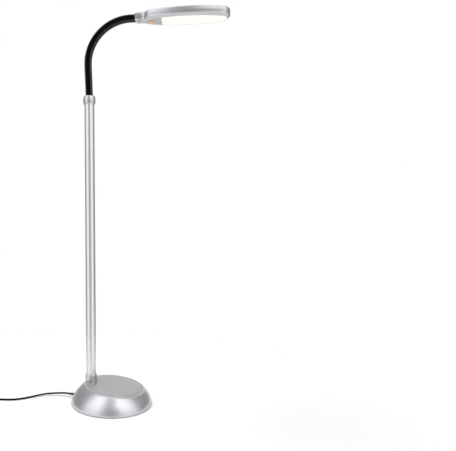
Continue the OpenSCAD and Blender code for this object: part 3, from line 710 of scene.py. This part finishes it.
# How far in from the opening and above the face
DIFFUSER_EDGE = ((0.45, 1.6), (0.45, 0.5), (0.7, 0.15), (1.1, 0.02), (6, 0))
BUTTON_FOOT = 3.0
# Radius and depth below the button's front: soft edge and raised rings
BUTTON_FRONT = ((BUTTON_R, 0.9), (BUTTON_R - 0.25, 0.3), (BUTTON_R - 0.8, 0), (6.6, 0), (6.2, 0.6),
                (5.4, 0.6), (5.0, 0), (3.6, 0), (3.2, 0.5), (2.4, 0.5), (2.0, 0.1), (0.3, 0))

diffuser_rings = []
for inset, above in DIFFUSER_EDGE:
    diffuser_rings.append([in_head(x, y, FACE_Z + above) for x, y in diffuser_outline(FACE_GAP - inset)])
lit_panel = loft("lit_diffuser", diffuser_rings, cap_start=False)
paint(sharpen(lit_panel), lit)
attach(lit_panel, "head")
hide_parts("diffuser")

button_profile = [(BUTTON_R, BUTTON_FOOT)]
button_profile += [(radius, depth - BUTTON_PROUD) for radius, depth in BUTTON_FRONT]
button_rings = []
for radius, z in button_profile:
    button_rings.append([in_head(x, y, FACE_Z + z) for x, y in button_outline(radius)])
button_cap = sharpen(loft("button_cap", button_rings), angle=30)
paint(button_cap, amber)
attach(button_cap, "button")
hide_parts("button")


# Finishes of the nodes that stay as they are

cores = [f"neck_core_{i}" for i in range(LINKS + 1)]
finishes = {
    pole_silver: ["pole_tube"],
    pad_black: ["floor_pad"],
    plastic_black: ["cord_gland", "plug_body", "cord_tie", "driver_case", "tact_switch", "switch_stem",
                    "pole_foot_plug", "neck_bottom_plug", "neck_top_plug"],
    cord_black: ["pole_lead"],
    iron: ["base_weight"],
    steel: ["base_bottom_plate", "base_screws", "pole_threaded_rod", "pole_nut", "pole_washer",
            "neck_screws", *cores],
    brass: ["plug_blades"],
    board_white: ["led_board", "led_chips"],
    board_green: ["control_board"],
}
for material, names in finishes.items():
    for name in names:
        paint(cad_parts[name], material)


# Floor: pale where it is seen, darker where it lights the lamp, and clear far out

FLOOR_SEEN = (0.84, 0.84, 0.84)
FLOOR_LIT = (0.48, 0.48, 0.48)
FLOOR_ROUGH = 0.6
FLOOR_REACH = 3
# Distance in metres at which the floor starts to fade, and at which it is clear
FLOOR_CLEARS = (0.3, 1.0)

floor_mesh = bpy.data.meshes.new("floor")
floor_corners = [(-FLOOR_REACH, -FLOOR_REACH, 0), (FLOOR_REACH, -FLOOR_REACH, 0),
                 (FLOOR_REACH, FLOOR_REACH, 0), (-FLOOR_REACH, FLOOR_REACH, 0)]
floor_mesh.from_pydata(floor_corners, [], [(0, 1, 2, 3)])
floor = put(bpy.data.objects.new("floor", floor_mesh))
pale_floor, floor_inputs, floor_nodes = new_material("pale_floor")
floor_inputs["Roughness"].default_value = FLOOR_ROUGH
position = floor_nodes.add("ShaderNodeTexCoord")
distance = floor_nodes.add("ShaderNodeVectorMath", operation="LENGTH")
floor_nodes.link(position.outputs["Object"], distance.inputs[0])
opaque = floor_nodes.spread(distance.outputs["Value"], *FLOOR_CLEARS, 1, 0, "SMOOTHSTEP")
floor_nodes.link(opaque, floor_inputs["Alpha"])
floor_nodes.link(floor_nodes.colour(floor_nodes.shown(), FLOOR_LIT, FLOOR_SEEN), floor_inputs["Base Color"])
paint(floor, pale_floor)


# Studio: soft light from the left and right of its front, grey walls between, and brighter higher up

STUDIO_FRONT = (0.087, -0.996, 0)
# Share of the way from the back to the front, and grey there
STUDIO_WALLS = ((0.0, 0.27), (0.38, 0.20), (0.50, 0.30), (0.65, 0.90), (0.91, 1.0),
                (0.955, 0.54), (0.985, 0.24))
# Height of a direction, and strength of the light from there
RISE, RISE_LIGHT = (0.1, 0.85), (1.2, 2.1)
# Where metal and glass show white: the backdrop behind the lamp, and what lies well below the horizon
BACKDROP = (0.03, 0.07)
BELOW = (-0.5, -0.3)

world = bpy.data.worlds.new("studio")
bpy.context.scene.world = world
world.use_nodes = True
studio = Nodes(world.node_tree)
direction = studio.add("ShaderNodeTexCoord").outputs["Generated"]
level = studio.add("ShaderNodeVectorMath", operation="MULTIPLY")
level.inputs[1].default_value = (1, 1, 0)
studio.link(direction, level.inputs[0])
unit = studio.add("ShaderNodeVectorMath", operation="NORMALIZE")
studio.link(level.outputs["Vector"], unit.inputs[0])
facing = studio.add("ShaderNodeVectorMath", operation="DOT_PRODUCT")
facing.inputs[1].default_value = STUDIO_FRONT
studio.link(unit.outputs["Vector"], facing.inputs[0])
frontness = studio.spread(facing.outputs["Value"], -1, 1, 0, 1)
rise = studio.add("ShaderNodeSeparateXYZ")
studio.link(direction, rise.inputs["Vector"])

walls = studio.add("ShaderNodeValToRGB")
walls.color_ramp.interpolation = "EASE"
while len(walls.color_ramp.elements) < len(STUDIO_WALLS):
    walls.color_ramp.elements.new(0.5)
for element, (place, grey) in zip(walls.color_ramp.elements, STUDIO_WALLS):
    element.position = place
    element.color = (grey, grey, grey, 1)
studio.link(frontness, walls.inputs["Fac"])
lighting = world.node_tree.nodes["Background"]
studio.link(walls.outputs["Color"], lighting.inputs["Color"])
studio.link(studio.spread(rise.outputs["Z"], *RISE, *RISE_LIGHT), lighting.inputs["Strength"])

white = studio.add("ShaderNodeBackground")
white.inputs["Color"].default_value = (1, 1, 1, 1)
behind = studio.spread(frontness, *BACKDROP, 1, 0)
below = studio.spread(rise.outputs["Z"], *BELOW, 1, 0)
mirrored = studio.maths("MULTIPLY", studio.shown(), studio.maths("ADD", behind, below))
straight = studio.add("ShaderNodeLightPath").outputs["Is Camera Ray"]
pick = studio.add("ShaderNodeMixShader")
studio.link(studio.maths("ADD", straight, mirrored), pick.inputs["Fac"])
studio.link(lighting.outputs["Background"], pick.inputs[1])
studio.link(white.outputs["Background"], pick.inputs[2])
studio.link(pick.outputs["Shader"], world.node_tree.nodes["World Output"].inputs["Surface"])


# Lamps

def area_light(name, place, aim, side, power):
    """A square lamp at a place, turned to what it lights."""
    data = bpy.data.lights.new(name, "AREA")
    data.size = side
    data.energy = power
    obj = put(bpy.data.objects.new(name, data))
    obj.location = place
    obj.rotation_euler = (Vector(aim) - Vector(place)).to_track_quat("-Z", "Y").to_euler()
    return obj


top_box = area_light("top_box", place=(-0.35, 0.15, 2.9), aim=(0, 0, 0), side=0.5, power=40)
top_box.visible_glossy = False
area_light("head_box", place=(0.85, -1.40, 1.75), aim=(0.40, 0, 1.20), side=0.6, power=1.2)

bpy.context.scene.view_settings.view_transform = "Standard"
